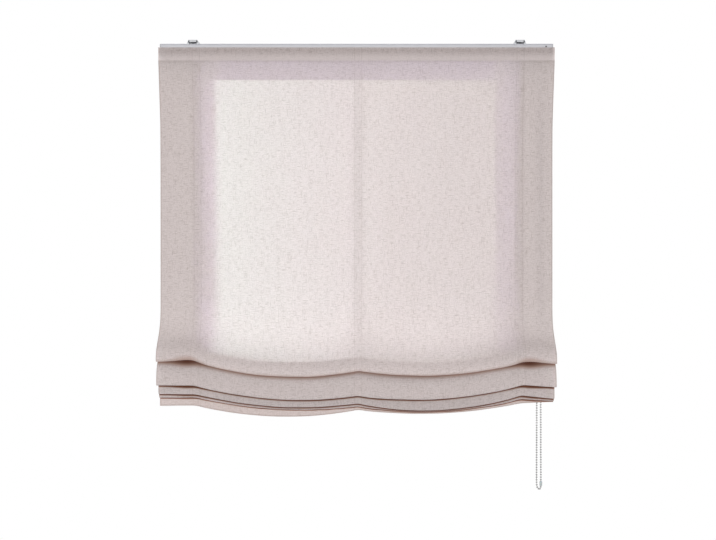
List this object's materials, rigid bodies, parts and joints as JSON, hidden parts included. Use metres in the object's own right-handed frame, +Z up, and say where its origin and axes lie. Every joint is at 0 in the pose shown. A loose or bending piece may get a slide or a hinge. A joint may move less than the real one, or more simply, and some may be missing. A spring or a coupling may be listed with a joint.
{
  "type": "roman blind",
  "caption": "Soft roman blind of sheer linen, part raised, with swagged folds, on a chain-driven headrail held by ceiling brackets with rear latches.",
  "frame": {"origin": "on the ceiling plane, midway between the brackets, at the centre of their screw pattern", "axes": "+X to the right seen from the room along the headrail, +Y away from the room, +Z up"},
  "size_m": [0.942, 0.0928, 1.0787],
  "materials": {
    "rail_aluminium": "satin powder coat",
    "cap_plastic": "matt",
    "bracket_steel": "zinc plated",
    "pin_steel": "plain",
    "shaft_aluminium": "mill",
    "strip_fabric": "hook and loop",
    "drive_plastic": "matt",
    "spool_plastic": "matt",
    "linen": "sheer slubbed linen weave",
    "tape_fabric": "woven tape",
    "ring_plastic": "translucent white",
    "cord_fabric": "braided cord",
    "bead_plastic": "moulded beads"
  },
  "bodies": {
    "frame": {"headrail": "rail_aluminium", "end_cap_left": "cap_plastic", "end_cap_right": "cap_plastic", "ceiling_brackets": "bracket_steel", "latch_pins": "pin_steel", "hook_strip": "strip_fabric", "loop_strip": "strip_fabric", "drive_housing": "drive_plastic", "drive_cover": "drive_plastic", "drive_screw": "pin_steel", "cradles": "drive_plastic", "cloth": "linen", "tape_left": "tape_fabric", "tape_centre": "tape_fabric", "tape_right": "tape_fabric", "rings": "ring_plastic", "cord_stops": "ring_plastic", "lift_cord_left": "cord_fabric", "lift_cord_centre": "cord_fabric", "lift_cord_right": "cord_fabric", "bead_chain": "bead_plastic", "chain_connector": "bead_plastic"},
    "lift_line": {"drive_shaft": "shaft_aluminium", "sprocket": "drive_plastic", "spools": "spool_plastic", "cord_wraps": "cord_fabric"},
    "latch_left": {"latch_left": "bracket_steel"},
    "latch_right": {"latch_right": "bracket_steel"}
  },
  "joints": [
    {"name": "lift_line_turn", "type": "hinge", "parent": "frame", "child": "lift_line", "pos_m": [0, 0.004, -0.031], "axis": [1, 0, 0], "continuous": true},
    {"name": "latch_left_hinge", "type": "hinge", "parent": "frame", "child": "latch_left", "pos_m": [-0.39, 0.0215, -0.0046], "axis": [1, 0, 0], "range_deg": [0, 40]},
    {"name": "latch_right_hinge", "type": "hinge", "parent": "frame", "child": "latch_right", "pos_m": [0.39, 0.0215, -0.0046], "axis": [1, 0, 0], "range_deg": [0, 40]}
  ]
}
